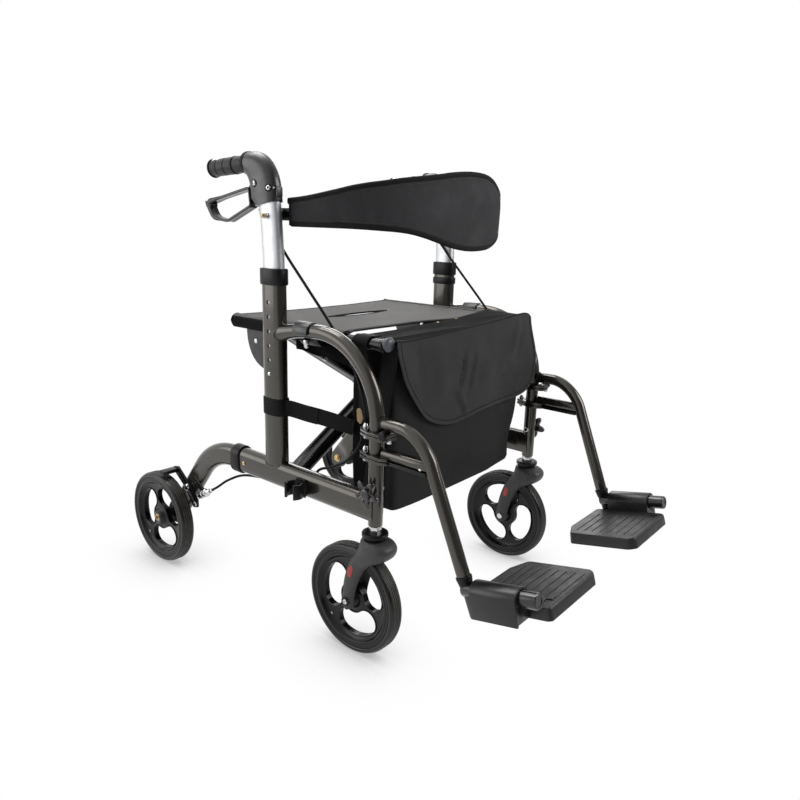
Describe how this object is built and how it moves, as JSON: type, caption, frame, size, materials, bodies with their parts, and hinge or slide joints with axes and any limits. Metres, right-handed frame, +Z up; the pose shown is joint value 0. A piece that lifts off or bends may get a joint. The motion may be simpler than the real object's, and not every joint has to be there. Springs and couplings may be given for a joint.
{
  "type": "four-wheel walker",
  "caption": "Folding four-wheel walker with seat, bag, padded backrest, loop brakes and swing-away footrests, on an X-braced tubular frame.",
  "frame": {"origin": "on the floor under the middle of the footprint", "axes": "+Z up, -Y the way the user walks, +X to the user's left"},
  "size_m": [0.612, 1.009, 0.8504],
  "materials": {
    "bronze_paint": "satin metallic bronze-grey paint",
    "satin_aluminium": "satin anodised",
    "chrome": "bright",
    "black_paint": "gloss black paint",
    "black_plastic": "satin moulded",
    "elbow_plastic": "satin moulded",
    "grip_rubber": "matte moulded",
    "tyre_rubber": "matte",
    "rim_plastic": "gloss moulded",
    "seat_fabric": "woven nylon, black binding",
    "black_fabric": "woven nylon"
  },
  "bodies": {
    "right_side": {"right_upright": "bronze_paint", "right_lower_tube": "bronze_paint", "right_arch_post": "bronze_paint", "right_rear_leg": "bronze_paint", "right_leg_collar": "black_plastic", "right_height_collar": "black_plastic", "right_caster_stem": "chrome", "right_rear_axle": "chrome", "right_seat_rest": "black_plastic", "right_brake_cable": "black_plastic", "cane_holder": "black_plastic"},
    "brace_a": {"cross_brace_a": "black_paint"},
    "brace_b": {"cross_brace_b": "black_paint"},
    "left_side": {"left_upright": "bronze_paint", "left_lower_tube": "bronze_paint", "left_arch_post": "bronze_paint", "left_rear_leg": "bronze_paint", "left_leg_collar": "black_plastic", "left_height_collar": "black_plastic", "left_caster_stem": "chrome", "left_rear_axle": "chrome", "left_seat_rest": "black_plastic", "left_brake_cable": "black_plastic"},
    "seat": {"seat": "seat_fabric", "bag": "black_fabric"},
    "right_handle": {"right_handle_tube": "satin_aluminium", "right_elbow": "elbow_plastic", "right_grip": "grip_rubber"},
    "right_lever": {"right_brake_lever": "black_plastic"},
    "right_button": {"right_snap_button": "chrome"},
    "right_backrest": {"right_backrest_arm": "black_paint", "backrest": "black_fabric"},
    "right_brake": {"right_brake_arm": "black_paint"},
    "right_rear_wheel": {"right_rear_rim": "rim_plastic", "right_rear_tyre": "tyre_rubber"},
    "right_caster": {"right_fork": "black_plastic", "right_caster_axle": "chrome"},
    "right_caster_wheel": {"right_caster_rim": "rim_plastic", "right_caster_tyre": "tyre_rubber"},
    "right_knob": {"right_star_knob": "black_plastic"},
    "right_hanger": {"right_hanger": "bronze_paint"},
    "right_footrest": {"right_footrest_rod": "bronze_paint"},
    "right_footplate": {"right_footplate": "black_plastic"},
    "left_handle": {"left_handle_tube": "satin_aluminium", "left_elbow": "elbow_plastic", "left_grip": "grip_rubber"},
    "left_lever": {"left_brake_lever": "black_plastic"},
    "left_button": {"left_snap_button": "chrome"},
    "left_backrest": {"left_backrest_arm": "black_paint"},
    "left_brake": {"left_brake_arm": "black_paint"},
    "left_rear_wheel": {"left_rear_rim": "rim_plastic", "left_rear_tyre": "tyre_rubber"},
    "left_caster": {"left_fork": "black_plastic", "left_caster_axle": "chrome"},
    "left_caster_wheel": {"left_caster_rim": "rim_plastic", "left_caster_tyre": "tyre_rubber"},
    "left_knob": {"left_star_knob": "black_plastic"},
    "left_hanger": {"left_hanger": "bronze_paint"},
    "left_footrest": {"left_footrest_rod": "bronze_paint"},
    "left_footplate": {"left_footplate": "black_plastic"}
  },
  "joints": [
    {"name": "fold", "type": "hinge", "parent": "right_side", "child": "brace_a", "pos_m": [-0.222, 0.039, 0.281], "axis": [0, -1, 0], "range_deg": [0, 21], "deforming": ["seat", "bag", "backrest"]},
    {"name": "fold_centre", "type": "hinge", "parent": "brace_a", "child": "brace_b", "pos_m": [0, 0.061, 0.4142], "axis": [0, -1, 0], "range_deg": [-42, 0]},
    {"name": "fold_left", "type": "hinge", "parent": "brace_b", "child": "left_side", "pos_m": [0.222, 0.083, 0.281], "axis": [0, -1, 0], "range_deg": [0, 21]},
    {"name": "seat_lift", "type": "slide", "parent": "right_side", "child": "seat", "axis": [0, 0, 1], "range_m": [0, 0.1402]},
    {"name": "right_height", "type": "slide", "parent": "right_side", "child": "right_handle", "axis": [0, 0, 1], "range_m": [0, 0.128], "deforming": ["right_brake_cable", "right_snap_button"]},
    {"name": "right_lever", "type": "hinge", "parent": "right_handle", "child": "right_lever", "pos_m": [-0.25, 0.1065, 0.7985], "axis": [1, 0, 0], "range_deg": [0, 12], "stiffness_Nm_per_rad": 0.8, "springref_deg": -5.73},
    {"name": "right_button", "type": "slide", "parent": "right_handle", "child": "right_button", "axis": [1, 0, 0], "range_m": [0, 0.004], "stiffness_N_per_m": 400, "springref_m": -0.002},
    {"name": "right_backrest", "type": "hinge", "parent": "right_handle", "child": "right_backrest", "pos_m": [-0.2255, 0.066, 0.747], "axis": [-1, 0, 0], "range_deg": [0, 180]},
    {"name": "right_brake", "type": "hinge", "parent": "right_side", "child": "right_brake", "pos_m": [-0.2627, 0.34249, 0.17805], "axis": [-1, 0, 0], "range_deg": [0, 3.6]},
    {"name": "right_rear_wheel", "type": "hinge", "parent": "right_side", "child": "right_rear_wheel", "pos_m": [-0.291, 0.405, 0.1], "axis": [1, 0, 0], "continuous": true},
    {"name": "right_caster", "type": "hinge", "parent": "right_side", "child": "right_caster", "pos_m": [-0.25, -0.184, 0.2244], "axis": [0, 0, 1], "continuous": true},
    {"name": "right_caster_wheel", "type": "hinge", "parent": "right_caster", "child": "right_caster_wheel", "pos_m": [-0.25, -0.139, 0.1], "axis": [1, 0, 0], "continuous": true},
    {"name": "right_knob", "type": "hinge", "parent": "right_side", "child": "right_knob", "pos_m": [-0.2625, -0.184, 0.312], "axis": [1, 0, 0], "continuous": true},
    {"name": "right_hanger", "type": "hinge", "parent": "right_side", "child": "right_hanger", "pos_m": [-0.25, -0.184, 0.4], "axis": [0, 0, -1], "range_deg": [0, 90]},
    {"name": "right_footrest", "type": "slide", "parent": "right_hanger", "child": "right_footrest", "axis": [0.025, -0.381, -0.9243], "range_m": [0, 0.04]},
    {"name": "right_footplate", "type": "hinge", "parent": "right_footrest", "child": "right_footplate", "pos_m": [-0.24518, -0.36933, 0.20209], "axis": [0, -0.9763, 0.2164], "range_deg": [0, 90]},
    {"name": "left_height", "type": "slide", "parent": "left_side", "child": "left_handle", "axis": [0, 0, 1], "range_m": [0, 0.128], "deforming": ["left_brake_cable", "left_snap_button"]},
    {"name": "left_lever", "type": "hinge", "parent": "left_handle", "child": "left_lever", "pos_m": [0.25, 0.1065, 0.7985], "axis": [1, 0, 0], "range_deg": [0, 12], "stiffness_Nm_per_rad": 0.8, "springref_deg": -5.73},
    {"name": "left_button", "type": "slide", "parent": "left_handle", "child": "left_button", "axis": [-1, 0, 0], "range_m": [0, 0.004], "stiffness_N_per_m": 400, "springref_m": -0.002},
    {"name": "left_backrest", "type": "hinge", "parent": "left_handle", "child": "left_backrest", "pos_m": [0.2255, 0.066, 0.747], "axis": [-1, 0, 0], "range_deg": [0, 180]},
    {"name": "left_brake", "type": "hinge", "parent": "left_side", "child": "left_brake", "pos_m": [0.2627, 0.34249, 0.17805], "axis": [-1, 0, 0], "range_deg": [0, 3.6]},
    {"name": "left_rear_wheel", "type": "hinge", "parent": "left_side", "child": "left_rear_wheel", "pos_m": [0.291, 0.405, 0.1], "axis": [1, 0, 0], "continuous": true},
    {"name": "left_caster", "type": "hinge", "parent": "left_side", "child": "left_caster", "pos_m": [0.25, -0.184, 0.2244], "axis": [0, 0, 1], "continuous": true},
    {"name": "left_caster_wheel", "type": "hinge", "parent": "left_caster", "child": "left_caster_wheel", "pos_m": [0.25, -0.139, 0.1], "axis": [1, 0, 0], "continuous": true},
    {"name": "left_knob", "type": "hinge", "parent": "left_side", "child": "left_knob", "pos_m": [0.2625, -0.184, 0.312], "axis": [1, 0, 0], "continuous": true},
    {"name": "left_hanger", "type": "hinge", "parent": "left_side", "child": "left_hanger", "pos_m": [0.25, -0.184, 0.4], "axis": [0, 0, 1], "range_deg": [0, 90]},
    {"name": "left_footrest", "type": "slide", "parent": "left_hanger", "child": "left_footrest", "axis": [-0.025, -0.381, -0.9243], "range_m": [0, 0.04]},
    {"name": "left_footplate", "type": "hinge", "parent": "left_footrest", "child": "left_footplate", "pos_m": [0.24518, -0.36933, 0.20209], "axis": [0, 0.9763, -0.2164], "range_deg": [0, 90]}
  ],
  "couplings": [
    {"joint": "fold_centre", "follows": "fold", "ratio": -2},
    {"joint": "fold_left", "follows": "fold", "ratio": 1},
    {"joint": "seat_lift", "follows": "fold", "m_per_rad": 0.382},
    {"joint": "left_height", "follows": "right_height", "ratio": 1},
    {"joint": "left_backrest", "follows": "right_backrest", "ratio": 1},
    {"joint": "right_brake", "follows": "right_lever", "ratio": 0.3},
    {"joint": "left_brake", "follows": "left_lever", "ratio": 0.3}
  ]
}
